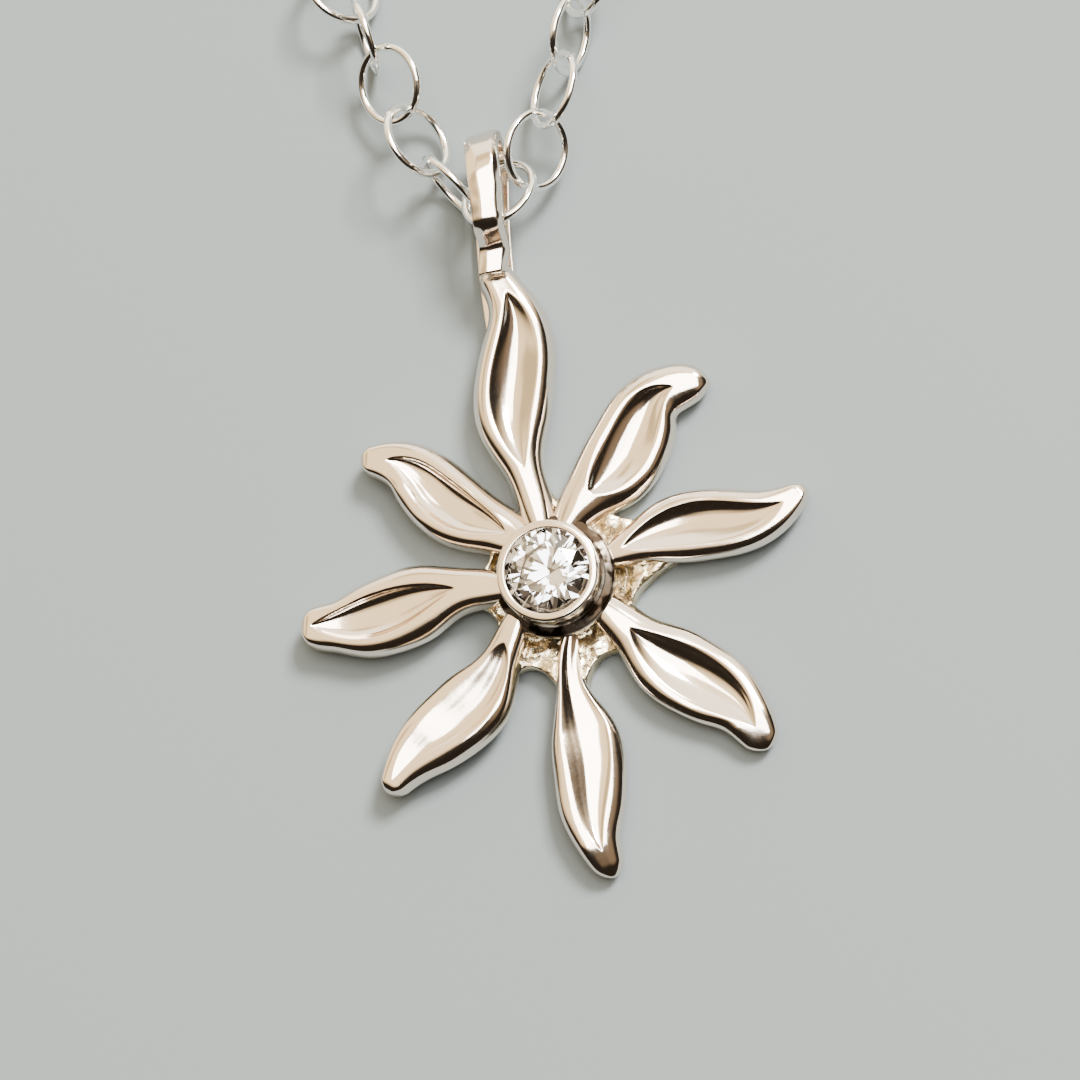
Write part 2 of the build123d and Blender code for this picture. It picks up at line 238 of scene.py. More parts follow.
def castSilver():
    # the same silver as it left the mould: matt, pitted and yellowed in the hollows that no wheel reaches
    look = {
        "bright": "#F3E9CE",
        # on the plate this darker tone is tarnish yellowing the hollows
        "tarnishAndPaintedShade": "#B3A078",
        "edges": (0.35, 0.62),  # the pattern's values where the one tone ends and the other starts
        "roughness": (0.16, 0.36),
        "lump": 0.6,
        "lumpDepth": 0.12,
        "pit": 0.3,
        "pitDepth": 0.03,
    }
    material, tree, shader = newMaterial("rawCastSilver", {"Metallic": 1.0})
    lumps = objectPattern(tree, "ShaderNodeTexNoise", look["lump"], {"Detail": 4.0, "Roughness": 0.6})
    pits = objectPattern(tree, "ShaderNodeTexVoronoi", look["pit"])
    low, high = look["edges"]
    limits = {"From Min": low, "From Max": high}
    tone = addNode(tree, "ShaderNodeMapRange", limits, {"Value": lumps.outputs["Fac"]})
    color = addNode(
        tree,
        "ShaderNodeMix",
        {"data_type": "RGBA", 6: linearColor(look["tarnishAndPaintedShade"]), 7: linearColor(look["bright"])},
        {0: tone.outputs["Result"]},
    )
    tree.links.new(color.outputs[2], shader.inputs["Base Color"])
    low, high = look["roughness"]
    limits = {"To Min": high, "To Max": low}
    spread = addNode(tree, "ShaderNodeMapRange", limits, {"Value": lumps.outputs["Fac"]})
    tree.links.new(spread.outputs["Result"], shader.inputs["Roughness"])
    depth = {"Distance": look["lumpDepth"] * mm}
    coarse = addNode(tree, "ShaderNodeBump", depth, {"Height": lumps.outputs["Fac"]})
    fine = addNode(
        tree,
        "ShaderNodeBump",
        {"Distance": look["pitDepth"] * mm},
        {"Height": pits.outputs["Distance"], "Normal": coarse.outputs["Normal"]},
    )
    tree.links.new(fine.outputs["Normal"], shader.inputs["Normal"])
    return material


def paintedShadeSilver():
    # silver painted dark with painted shade in the corner under the tube, broken by patches of painted bright
    # reflection
    look = {
        # dark is painted shade, and paintedReflection is painted bright reflection laid in patches by the noise
        "dark": "#4A3E34",
        "paintedReflection": "#E8DACB",
        "patch": 0.8,
        "edges": (0.47, 0.55),
        "roughness": 0.22,
        "dent": 0.04,
    }
    material, tree, shader = newMaterial("paintedShadeSilver", {"Metallic": 1.0, "Roughness": look["roughness"]})
    patches = objectPattern(tree, "ShaderNodeTexNoise", look["patch"], {"Detail": 2.0})
    low, high = look["edges"]
    limits = {"From Min": low, "From Max": high}
    share = addNode(tree, "ShaderNodeMapRange", limits, {"Value": patches.outputs["Fac"]})
    color = addNode(
        tree,
        "ShaderNodeMix",
        {"data_type": "RGBA", 6: linearColor(look["dark"]), 7: linearColor(look["paintedReflection"])},
        {0: share.outputs["Result"]},
    )
    tree.links.new(color.outputs[2], shader.inputs["Base Color"])
    depth = {"Distance": look["dent"] * mm}
    bump = addNode(tree, "ShaderNodeBump", depth, {"Height": patches.outputs["Fac"]})
    tree.links.new(bump.outputs["Normal"], shader.inputs["Normal"])
    return material


def drawnSilver():
    # bright drawn silver wire, tumbled after soldering: whiter and shinier than the casting, with faint
    # draw marks, which are drawn coarser than real ones so that they show
    look = {"color": "#FBFAF7", "roughness": (0.08, 0.18), "mark": 0.35, "markDepth": 0.004}
    settings = {"Base Color": linearColor(look["color"]), "Metallic": 1.0}
    material, tree, shader = newMaterial("drawnSilverWire", settings)
    marks = objectPattern(tree, "ShaderNodeTexNoise", look["mark"], {"Detail": 3.0})
    low, high = look["roughness"]
    limits = {"To Min": low, "To Max": high}
    spread = addNode(tree, "ShaderNodeMapRange", limits, {"Value": marks.outputs["Fac"]})
    tree.links.new(spread.outputs["Result"], shader.inputs["Roughness"])
    depth = {"Distance": look["markDepth"] * mm}
    bump = addNode(tree, "ShaderNodeBump", depth, {"Height": marks.outputs["Fac"]})
    tree.links.new(bump.outputs["Normal"], shader.inputs["Normal"])
    return material


def cutStone():
    # clear cubic zirconia, lapped and polished: sharp facets that throw white and grey
    settings = {
        "Base Color": linearColor("#EAF0FF"),
        "Roughness": 0.0,
        "IOR": 2.15,
        "Transmission Weight": 1.0,
    }
    return newMaterial("clearCutStone", settings)[0]


polished = polishedSilver()
rawCast = castSilver()
# the foot's silver carries painted shade with patches of painted reflection
tarnishAndPaintedShade = paintedShadeSilver()
wire = drawnSilver()
clear = cutStone()
print("materials made")

petalLook = {
    "rootRadius": 1.87,  # where a petal starts, inside the collar
    "lift": 0.35,  # the foot's height
    "hump": 0.08,  # how far the crest rises over the line from the root's top to the tip's
    "dropFrom": 0.86,  # where the tip starts to fall away, and how sharply it bends there
    "dropPower": 1.5,
    "widest": 0.4,  # the widest place, as a share of the way from the foot to the crest
    "widthKeys": (0, 0.10, 0.22, 0.38, 0.55, 0.71, 0.84, 0.93, 1.0),  # where a petal's widths are given
    "bellyWidths": (0.93, 1, 0.88, 0.64),  # the widths between the neck and the point
    "endRound": 0.05,  # the share of the length that rounds the tip off, down to tipLeast of its width
    "tipLeast": 0.02,
    "tipRise": 0.35,  # what is left at the very tip of the crest's rise over the widest place
    "rootSlope": 0.4,  # how much gentler the shoulders are at the root, and where that ends
    "rootSlopeEnd": 0.5,
    "twistEnd": 0.4,  # where the root's twist ends
    "rimShare": 0.74,  # the hollow takes up no more than this share of the width
    "leastHalf": 0.0001,
    "edgeSoftness": 0.045,  # how softly the hollow's edge turns over
    "bevelReach": 0.5,  # how far the rim slopes inwards round the hollow, as a share of its half width
    "widthPower": 0.85,  # below 1 the hollow's width, its depth and its bevel start and end more bluntly
    "depthPower": 0.7,
    "bevelPower": 0.5,
    "groove": 0.003,  # faint grooves along the hollow, and how many lie between its valley and its edge
    "grooves": 2.6,
    "footInset": 0.25,  # how far the underside draws in from the sides, and how squarely
    "footPower": 6,
    "sidePower": 8,  # how squarely the underside turns up into the sides
    "tipUndercut": 0.5,  # how far the underside rises at the very tip, as a share of the way up
    "along": 120,
    "across": 76,
    "under": 26,
    "waveLength": 1.7,
    "waveHeight": 0.011,
}

# Angles are about the stone, counter-clockwise from east. bow, sway and curl are shares of the length by
# which the middle line leaves the straight. fullest is where the belly is, and root and neck are the widths
# at the setting and a fifth of the way out, as shares of the belly. ray is how far the plate's ray reaches
# and web how far the plate's edge is before the next ray.
Petal = namedtuple("Petal", "rootAngle tipAngle reach belly bow sway curl fullest root neck ray web")
petalRows = {
    "north": Petal(98, 93.4, 12.75, 3.1, -0.01, 0.04, -0.02, 0.54, 0.38, 0.52, 0.36, 2.9),
    "northEast": Petal(71, 42.7, 9.7, 3.2, 0.09, -0.05, 0.03, 0.45, 0.40, 0.70, 0.30, 2.9),
    "east": Petal(11, 9.4, 10.3, 2.8, -0.01, 0.04, -0.01, 0.46, 0.24, 0.66, 0.64, 3.6),
    "southEast": Petal(-39.5, -49.1, 10.6, 3.1, 0.03, -0.03, 0.01, 0.50, 0.42, 0.62, 0.34, 3.2),
    "south": Petal(-81, -88.5, 11.8, 2.8, -0.04, 0.0, -0.02, 0.56, 0.18, 0.44, 0.30, 3.5),
    "southWest": Petal(-146, -137.9, 10.6, 3.0, 0.05, 0.03, -0.01, 0.52, 0.34, 0.54, 0.30, 3.6),
    "west": Petal(-179, -180.4, 10.4, 3.15, 0.0, -0.03, 0.0, 0.52, 0.38, 0.60, 0.30, 2.9),
    "northWest": Petal(122, 138.8, 9.35, 2.9, -0.03, 0.04, -0.02, 0.46, 0.52, 0.76, 0.30, 2.9),
}

# The relief of each petal, in the same order. point and blunt are the widths near the tip and at it, as
# shares of the belly. start, end and width place the hollow, and plump above 1 moves its fullest place to
# the tip. depth is its depth in millimetres and deepest moves that to the tip. valley moves the deepest
# line to the left of the way out. leftPower and rightPower are the walls' steepness, bevel is how far the
# rim slopes down to them, roll lowers the left side in degrees, twist adds to it at the root, leftFlat and
# rightFlat square the shoulders, and rootTop and tipTop are the heights of the ends, the last stretch of
# which falls by tipDrop.
Relief = namedtuple(
    "Relief",
    "point blunt start end width plump depth deepest valley leftPower rightPower bevel"
    " roll twist leftFlat rightFlat rootTop tipTop tipDrop",
)
reliefRows = [
    Relief(0.5, 0.46, 0.24, 0.88, 0.6, 1.05, 0.42, 0.25, 0, 2.1, 1.6, 0.08, -8, -5, 4.2, 3.6, 1.85, 1.95, 0),
    Relief(0.5, 0.24, 0.22, 0.86, 0.54, 0.85, 0.36, 0, 0.05, 2.4, 2, 0.12, -8, -3, 3.4, 3, 1.85, 1.35, 0.1),
    Relief(0.42, 0.22, 0.12, 0.88, 0.6, 0.95, 0.28, -0.3, 0.25, 2.3, 2, 0.03, -1, 0, 5, 6.5, 1.5, 1.4, 0),
    Relief(0.5, 0.32, 0.2, 0.9, 0.56, 1, 0.38, -0.05, 0.2, 2.2, 2.2, 0.12, 4, 2, 3.2, 4.6, 1.5, 0.95, 0.2),
    Relief(0.48, 0.3, -0.04, 0.9, 0.66, 0.95, 0.28, -0.15, -0.21, 4, 1.15, 0.04, 10, 2, 2.6, 6, 1.45, 1.2, 0.45),
    Relief(0.44, 0.28, 0.16, 0.94, 0.62, 0.78, 0.33, -0.15, 0.36, 3.4, 1.1, 0.02, -5, 0, 5, 6, 1.74, 1.55, 0),
    Relief(0.54, 0.34, 0.24, 0.94, 0.54, 1.1, 0.38, 0.1, -0.3, 4.2, 3.2, 0.03, 0, 0, 7, 6, 1.85, 1.5, 0),
    Relief(0.46, 0.3, 0.1, 0.86, 0.56, 0.95, 0.36, 0.15, -0.25, 4.2, 3, 0.03, 0, 0, 8, 6, 1.85, 1.5, 0),
]


def petalLine(row, s):
    # the middle line, a chord bent by three sine waves, and its direction
    root = polarPoint(petalLook["rootRadius"], row.rootAngle)
    chord = polarPoint(row.reach, row.tipAngle) - root
    sideways = np.array([-chord[1], chord[0], 0])
    waves = ((1, row.bow), (2, row.sway), (3, row.curl))
    offset = sum(share * np.sin(n * math.pi * s) for n, share in waves)
    slope = sum(share * n * math.pi * np.cos(n * math.pi * s) for n, share in waves)
    return root + chord * s[:, None] + sideways * offset[:, None], unit(chord + sideways * slope[:, None])


def hollowDrop(row, relief, s, x, half):
    # how far the face lies under the crest: a pointed hollow with a valley in it, whose walls are powers of
    # the way from the valley to the edge, and a rim that slopes down to it; its plan is a sine lens along
    # the petal
    look = petalLook
    span = np.clip((s - relief.start) / (relief.end - relief.start), 0, 1)
    lens = np.sin(math.pi * span**relief.plump)
    wanted = row.belly / 2 * relief.width * lens ** look["widthPower"]
    hollowHalf = np.minimum(wanted[:, None], half * look["rimShare"]) + look["leastHalf"]
    valley = hollowHalf * relief.valley
    isLeft = x > valley
    across = np.where(isLeft, (x - valley) / (hollowHalf - valley), (valley - x) / (hollowHalf + valley))
    inside = 1 - across ** np.where(isLeft, relief.leftPower, relief.rightPower)
    soft = look["edgeSoftness"]
    inside = (inside + np.sqrt(inside**2 + soft**2)) / 2 - soft / 2 * np.clip(across, 0, 1)
    ripples = look["groove"] * np.sin(2 * math.pi * look["grooves"] * across) * np.clip(1 - across, 0, 1)
    slant = np.clip(1 + look["bevelReach"] - across, 0, look["bevelReach"]) / look["bevelReach"]
    depth = relief.depth * (1 + relief.deepest * (2 * span - 1)) * lens ** look["depthPower"]
    rim = (lens ** look["bevelPower"])[:, None] * (ripples + relief.bevel * slant**2)
    return depth[:, None] * np.clip(inside, 0, None) + rim


def petalSurface(row, relief, seed):
    # a bar swept along the middle line: its half width is a smooth curve through the given widths, closed
    # by a quarter circle at the tip, its face a superellipse over the width less the hollow, and its
    # underside nearly flat
    look = petalLook
    s = 0.5 - 0.5 * np.cos(np.linspace(0, math.pi, look["along"]))
    line, heading = petalLine(row, s)
    side = np.stack([-heading[:, 1], heading[:, 0], 0 * s], axis=-1)

    keys = np.array(look["widthKeys"])
    widths = [row.root, (row.root + row.neck) / 2, row.neck, *look["bellyWidths"], relief.point, relief.blunt]
    shifted = keys + (row.fullest - 0.5) * np.sin(math.pi * keys) ** 2
    ending = np.clip((s - 1) / look["endRound"] + 1, 0, 1)
    closing = np.sqrt(np.clip(1 - ending**2, look["tipLeast"] ** 2, 1))[:, None]
    half = row.belly / 2 * smoothCurve(shifted, widths, s)[:, None] * closing

    foot = look["lift"]
    top = relief.rootTop + (relief.tipTop - relief.rootTop) * s + look["hump"] * np.sin(math.pi * s)
    fall = np.clip((s - look["dropFrom"]) / (1 - look["dropFrom"]), 0, 1) ** look["dropPower"]
    top = (top - relief.tipDrop * fall)[:, None]
    widest = foot + (top - foot) * look["widest"]
    rise = (top - widest) * (look["tipRise"] + (1 - look["tipRise"]) * closing)

    w = np.sin(math.pi / 2 * np.linspace(-1, 1, look["across"]))
    x = half * w
    squareness = np.where(w > 0, relief.leftFlat, relief.rightFlat)[None, :]
    squareness = squareness * (1 - look["rootSlope"] * np.clip(1 - s / look["rootSlopeEnd"], 0, 1))[:, None]
    z = widest + rise * np.clip(1 - np.abs(w) ** squareness, 0, 1) ** 0.5
    z = z - hollowDrop(row, relief, s, x, half)

    under = np.linspace(1, -1, look["under"] + 2)[1:-1]
    xUnder = half * under * (1 - look["footInset"] * (1 - np.abs(under) ** look["footPower"]))
    undercut = np.abs(under) ** look["sidePower"] + (1 - closing) * look["tipUndercut"]
    zUnder = foot + (widest - foot) * undercut
    x = np.concatenate([x, xUnder], axis=1)
    z = np.concatenate([z, zUnder], axis=1)

    turn = np.radians(relief.roll + relief.twist * np.clip(1 - s / look["twistEnd"], 0, 1) ** 2)[:, None]
    middle = (foot + top) / 2
    xTurned = x * np.cos(turn) + (z - middle) * np.sin(turn)
    zTurned = middle + (z - middle) * np.cos(turn) - x * np.sin(turn)
    points = line[:, None] + side[:, None] * xTurned[..., None]
    points[..., 2] = zTurned
    points[..., 2] += ripple(points, look["waveLength"], look["waveHeight"], seed) * (zTurned > widest)
    return points


rowPairs = enumerate(zip(petalRows.values(), reliefRows))
petals = np.stack([petalSurface(row, relief, seed) for seed, (row, relief) in rowPairs])
buildPiece("petals", petals, polished, nodes=["star"])
print("petals made")

# The setting's sizes come before the plate, whose face dips round the collar.
settingLook = {
    "bezelRadius": 2.0,
    "bezelTop": 3.05,
    "mouth": 1.66,
    "lipSlope": 0.02,  # how far the lip falls from the mouth to its outer edge
    "girdle": 2.7,
    "grooveRadius": 1.78,
    "grooveSpan": (-0.04, 0.1),  # from the girdle down and up
    "lipUnder": 0.17,  # how far over the girdle the lip's underside meets the mouth
    "seatRadius": 1.225,
    "seatDrop": 0.55,  # how far under the girdle the seat's slope ends
    "foot": 0.6,  # where the tube ends, and the collar a little over it
    "collarFoot": 0.62,
    "bandTaper": (0.02, 0.1),  # the bright band's lower edge: in from the bezel's radius and under the girdle
    "core": (0.12, 0.3),  # the hidden wall under the band: in, and under the girdle
    "wallInner": (0.15, 0.12),  # the painted-shade wall's top edges: in, and over the girdle
    "wallOuter": (-0.005, 0.1),
    "wallTaper": 0.02,
    "collarRadius": 2.42,
    "collarTop": 1.75,
    "collarSlope": 0.12,  # how far the collar's top rises at the wall and falls at its edge
    "collarSide": (0.04, 0.6),  # in from the edge, and under the collar's top
    "collarInset": 0.22,
    "around": 144,
    "wobble": 0.012,
    "wobbleLength": 2.2,
    "seed": 50,
}

plateLook = {
    "top": 0.9,
    "edge": 0.12,  # the radius that rounds the rim, in so many steps
    "edgeSteps": 5,
    "tipWidth": 0.8,
    "along": 44,  # points between two rays, every sixth of which is enough across a ray's end
    "tipStep": 6,
    "inward": 46,  # rings of the face, every fourth of which is enough for the back
    "backStep": 4,
    "innermost": 0.05,
    "moat": 0.25,  # how far the face dips round the collar, and where that starts
    "moatEnd": 3.0,
    "lump": 0.7,
    "lumpHeight": 0.05,
    "lumpSeed": 40,
    "grit": 0.28,
    "gritHeight": 0.018,
    "gritSeed": 41,
}


def plateRim(look):
    # eight blunt rays joined by quadratic curves that dip towards the stone
    rays = []
    for row in petalRows.values():
        (point,), (heading,) = petalLine(row, np.array([row.ray]))
        side = np.array([-heading[1], heading[0], 0]) * look["tipWidth"] / 2
        bearing = math.degrees(math.atan2(point[1], point[0])) % 360
        rays.append((bearing, point - side, point + side, row.web))
    rays.sort(key=lambda ray: ray[0])
    t = np.linspace(0, 1, look["along"], endpoint=False)[:, None]
    edges = []
    for ray, following in zip(rays, rays[1:] + rays[:1]):
        bearing, tipStart, tipEnd, web = ray
        nextBearing, nextStart = following[:2]
        valley = polarPoint(web, bearing + ((nextBearing - bearing) % 360) / 2)
        control = (4 * valley - tipEnd - nextStart) / 2
        edges.append(tipStart + (tipEnd - tipStart) * t[:: look["tipStep"]])
        edges.append((1 - t) ** 2 * tipEnd + 2 * t * (1 - t) * control + t**2 * nextStart)
    return np.concatenate(edges)


def plateSurface():
    # rings from the back's middle out, round the rim by two quarter circles, and in over the face, which is
    # lumpy
    look = plateLook
    rim = plateRim(look)
    tangent = unit(np.roll(rim, -1, axis=0) - np.roll(rim, 1, axis=0))
    inwards = np.stack([-tangent[:, 1], tangent[:, 0], 0 * tangent[:, 0]], axis=-1)
    turn = np.linspace(0, math.pi / 2, look["edgeSteps"])
    edge = rim + inwards * (look["edge"] * (1 - np.cos(turn)))[:, None, None]
    upper = edge.copy()
    upper[..., 2] = (look["top"] - look["edge"] + look["edge"] * np.sin(turn))[:, None]
    lower = edge[::-1].copy()
    lower[..., 2] = (look["edge"] - look["edge"] * np.sin(turn[::-1]))[:, None]
    shrink = np.linspace(1, look["innermost"], look["inward"])[1:, None, None]
    face = upper[-1] * shrink
    face[..., 2] = look["top"]
    back = lower[0] * shrink[:: -look["backStep"]]
    back[..., 2] = 0
    points = np.concatenate([back, lower, upper, face])
    lumps = ripple(points, look["lump"], look["lumpHeight"], look["lumpSeed"])
    grit = ripple(points, look["grit"], look["gritHeight"], look["gritSeed"])
    points[..., 2] += (lumps + grit) * (points[..., 2] > look["top"] / 2)
    distance = np.linalg.norm(points[..., :2], axis=-1)
    near = (look["moatEnd"] - distance) / (look["moatEnd"] - settingLook["collarRadius"])
    points[..., 2] -= look["moat"] * smoothStep(near) * (points[..., 2] > look["top"] / 2)
    return points[None]


buildPiece("castPlate", plateSurface(), rawCast, nodes=["star"])
print("plate made")


def turnedRing(profile):
    # an outline turned about the stone's axis, bent a little by hand; a profile's rows are radius, height
    # and easing
    look = settingLook
    profile = np.array(profile)
    outline = roundedCorners(profile[:, :2], profile[:, 2])
    angle = np.linspace(0, 2 * math.pi, look["around"], endpoint=False)[:, None]
    radius = outline[None, :, 0]
    height = outline[None, :, 1] + 0 * angle
    points = np.stack([radius * np.cos(angle), radius * np.sin(angle), height], axis=-1)
    bent = ripple(points, look["wobbleLength"], look["wobble"], look["seed"])
    points[..., :2] *= 1 + (bent / radius)[..., None]
    return points[None]


def tubeSurface():
    # the polished part: up the seat and the groove that holds the stone, over the lip, and down the bright
    # band
    look = settingLook
    outer, girdle = look["bezelRadius"], look["girdle"]
    bandIn, bandUnder = look["bandTaper"]
    coreIn, coreUnder = look["core"]
    grooveLow, grooveHigh = look["grooveSpan"]
    return turnedRing(
        [
            (look["seatRadius"], look["foot"], 0.02),
            (look["seatRadius"], girdle - look["seatDrop"], 0.05),
            (look["grooveRadius"], girdle + grooveLow, 0.02),
            (look["grooveRadius"], girdle + grooveHigh, 0.02),
            (look["mouth"], girdle + look["lipUnder"], 0.02),
            (look["mouth"], look["bezelTop"], 0.08),
            (outer, look["bezelTop"] - look["lipSlope"], 0.12),
            (outer - bandIn, girdle - bandUnder, 0.06),
            (outer - coreIn, girdle - coreUnder, 0.06),
            (outer - coreIn, look["foot"], 0.02),
        ]
    )


def footSurface():
    # the part painted with shade and patches of painted reflection: up inside the lower wall, down its outside,
    # and over the collar that slopes away from it
    look = settingLook
    outer, girdle, collar, top = look["bezelRadius"], look["girdle"], look["collarRadius"], look["collarTop"]
    innerIn, innerOver = look["wallInner"]
    outerIn, outerOver = look["wallOuter"]
    sideIn, sideUnder = look["collarSide"]
    return turnedRing(
        [
            (outer - innerIn, look["collarFoot"], 0.02),
            (outer - innerIn, girdle + innerOver, 0.02),
            (outer - outerIn, girdle + outerOver, 0.02),
            (outer - look["wallTaper"], top + look["collarSlope"], 0.12),
            (collar, top - look["collarSlope"], 0.14),
            (collar - sideIn, top - sideUnder, 0.1),
            (collar - look["collarInset"], look["collarFoot"], 0.02),
        ]
    )


buildPiece("settingTube", tubeSurface(), polished, wrapRows=True, nodes=["star"])
# the foot under the tube wears painted shade with patches of painted reflection
buildPiece("settingFoot", footSurface(), tarnishAndPaintedShade, wrapRows=True, nodes=["star"])

stoneLook = {
    "radius": 1.75,
    "girdleTop": 2.75,
    "girdle": 0.1,
    "table": 0.57,  # the corners of the table, the star facets and the lower facets, as shares of the radius
    "star": 0.78,
    "lower": 0.24,
    "crown": 34.5,  # the main facets' slopes in degrees
    "pavilion": 40.8,
}


def stoneSurface():
    # a round brilliant: every corner lies on one of sixteen bearings, at a radius, on a main facet's slope
    look = stoneLook
    radius, top = look["radius"], look["girdleTop"]
    low = top - look["girdle"]
    rise, fall = np.tan(np.radians([look["crown"], look["pavilion"]]))
    tableRadius, starRadius, lowerRadius = (radius * look[key] for key in ("table", "star", "lower"))
    step = 360 / 16
    bearings = np.arange(16) * step
    mains, betweens = bearings[::2], bearings[1::2]
    lean = math.cos(math.radians(step))
    height = (
        top + (radius - tableRadius) * rise,
        top + (radius - starRadius * lean) * rise,
        low - (radius - lowerRadius * lean) * fall,
        low - radius * fall,
    )
    rings = [
        polarPoint(tableRadius, mains) + (0, 0, height[0]),
        polarPoint(starRadius, betweens) + (0, 0, height[1]),
        polarPoint(radius, bearings) + (0, 0, top),
        polarPoint(radius, bearings) + (0, 0, low),
        polarPoint(lowerRadius, betweens) + (0, 0, height[2]),
        [(0, 0, height[3])],
    ]
    k, j = np.arange(8), np.arange(16)
    table, star, upper, under, lower, culet = k, 8 + k, 16 + j, 32 + j, 48 + k, np.full(8, 56)
    upperMain, upperBetween, upperNext = upper[::2], upper[1::2], np.roll(upper[::2], -1)
    underMain, underBetween, underNext = under[::2], under[1::2], np.roll(under[::2], -1)
    facets = [
        (table, star, np.roll(table, -1)),
        (table, np.roll(star, 1), upperMain, star),
        (star, upperMain, upperBetween),
        (star, upperBetween, upperNext),
        (upper, under, np.roll(under, -1), np.roll(upper, -1)),
        (lower, underBetween, underMain),
        (lower, underNext, underBetween),
        (culet, lower, underMain, np.roll(lower, 1)),
    ]
    faces = [table.tolist()]
    for corners in facets:
        faces += np.stack(corners, axis=1).tolist()
    return np.concatenate(rings), faces


finishPiece("roundStone", *stoneSurface(), clear, ["round_stone"], "clear_stone", smooth=False)
print("setting and stone made")

bailLook = {
    "strip": 0.5,
    "width": 1.4,
    "endWidth": 1.1,
    "foldMiddle": 15.95,
    "foldRadius": 2.012,
    "frontSouth": 12.2,
    "frontShares": (0, 0.15, 0.3, 0.46, 0.56, 0.68, 0.75, 0.87, 1),  # along the front, and how far it fell
    "frontFalls": (0, 0.01, 0.04, 0.1, 0.2, 0.8, 0.93, 0.97, 1),
    "frontEndTop": 2.65,
    "backSouth": 9.9,
    "foldEast": 0.06,
    "frontEndEast": -0.38,
    "backEndEast": -0.65,
    "frontBow": 0.24,
    "backBow": -0.22,
    "twistShares": (-0.1, 0.2, 0.5, 0.75, 0.95, 1.1),  # along the front, and its twist in degrees
    "twists": (0, 3, -11, -6, -13, -13),
    "plainCut": (0.08, 0.2),  # what eased edges take off the strip's width and thickness, as shares
    "leftChamfer": (0.32, 0.45),
    "rightChamfer": (0.16, 0.45),
    "chamferStart": (0.0, 0.3),  # where along the front the chamfers start and are full
    "easing": (0.06, 0.06, 0.1, 0.08, 0.08, 0.1),
    "cornerSteps": 6,
    "counts": (26, 34, 44),  # points along the back, the fold and the front
    "waveLength": 1.3,
    "waveHeight": 0.028,
    "seed": 61,
}


def stripOutline(leftCut, rightCut):
    # the strip's section, one wide and one thick, with its upper corners cut
    low, high = -0.5, 0.5
    corners = [
        (low, low),
        (high, low),
        (high, high - rightCut[1]),
        (high - rightCut[0], high),
        (low + leftCut[0], high),
        (low, high - leftCut[1]),
    ]
    return roundedCorners(corners, bailLook["easing"], bailLook["cornerSteps"])


def bailPath(look):
    # the side view's middle line, as places south to north and heights: a straight back, a half-round fold
    # and an arch down to the petal, which is a smooth curve through its falls
    inner = look["strip"] / 2
    north = look["foldMiddle"]
    backCount, foldCount, frontCount = look["counts"]
    back = np.stack([np.linspace(look["backSouth"], north, backCount), np.full(backCount, inner)], axis=-1)
    turn = np.linspace(-math.pi / 2, math.pi / 2, foldCount)[1:]
    radius = look["foldRadius"] - inner
    fold = np.stack([north + radius * np.cos(turn), look["foldRadius"] + radius * np.sin(turn)], axis=-1)
    start = 2 * look["foldRadius"] - inner
    drop = start - look["frontEndTop"] + inner
    away = np.linspace(0, 1, frontCount)[1:]
    fallen = smoothCurve(look["frontShares"], look["frontFalls"], away)
    front = np.stack([north - (north - look["frontSouth"]) * away, start - drop * fallen], axis=-1)
    return np.concatenate([back, fold, front]), len(back) + len(fold) // 2


def bailSurface():
    # a flat strip with eased edges carried along its side view, which bows aside by a sine wave, narrows,
    # twists and grows chamfers towards its front end
    look = bailLook
    path, crownRow = bailPath(look)
    isFront = np.arange(len(path)) >= crownRow
    heading = unit(np.gradient(path, axis=0))
    outwards = np.stack([heading[:, 1], -heading[:, 0]], axis=-1)[:, None]
    crown = look["foldMiddle"] + look["foldRadius"]
    share = (crown - path[:, 0]) / (crown - np.where(isFront, look["frontSouth"], look["backSouth"]))
    end = np.where(isFront, look["frontEndEast"], look["backEndEast"])
    bow = np.where(isFront, look["frontBow"], look["backBow"]) * np.sin(math.pi * np.clip(share, 0, 1))
    east = look["foldEast"] + (end - look["foldEast"]) * share + bow
    width = look["width"] + (look["endWidth"] - look["width"]) * share * isFront

    plain = stripOutline(look["plainCut"], look["plainCut"])
    chamfered = stripOutline(look["leftChamfer"], look["rightChamfer"])
    low, high = look["chamferStart"]
    shown = (smoothStep((share - low) / (high - low)) * isFront)[:, None]
    corner = plain + (chamfered - plain) * shown[..., None]
    fromMiddle = corner[..., 0] * width[:, None]
    twist = np.radians(smoothCurve(look["twistShares"], look["twists"], share)) * isFront
    lift = corner[..., 1] * look["strip"] + fromMiddle * np.tan(twist)[:, None]
    points = np.empty((*lift.shape, 3))
    points[..., 0] = east[:, None] + fromMiddle
    points[..., 1:] = path[:, None] + outwards * lift[..., None]
    bent = ripple(points, look["waveLength"], look["waveHeight"], look["seed"]) * shown * (corner[..., 1] > 0)
    points[..., 1:] += outwards * bent[..., None]
    return points[None]


buildPiece("bail", bailSurface(), polished, nodes=["star"])
print("bail made")

chainLook = {
    "length": 457.2,
    "linkOuter": 3.3,
    "wire": 0.31,
    "wireShown": 0.34,  # a little thicker, as the wire looks
    "gap": 0.12,
    "tilt": 45.0,
    "legAngle": 21.0,
    "jointEast": -0.82,  # where the two sides meet in the bail, from its fold's middle line
    "jointSouth": 0.798,
    "around": 48,
    "facets": 12,
    "flattening": 0.06,
    "leftSeed": 70,
    "rightSeed": 71,
    "claspRadius": 2.6,
    "claspTube": 0.5,
    "eyeRadius": 0.95,
    "eyeWire": 0.25,
    "claspAround": 96,
    "claspFacets": 24,
    "endRingWire": 0.25,
    "endRingTilt": 60.0,
    "endRingFacets": 16,
}

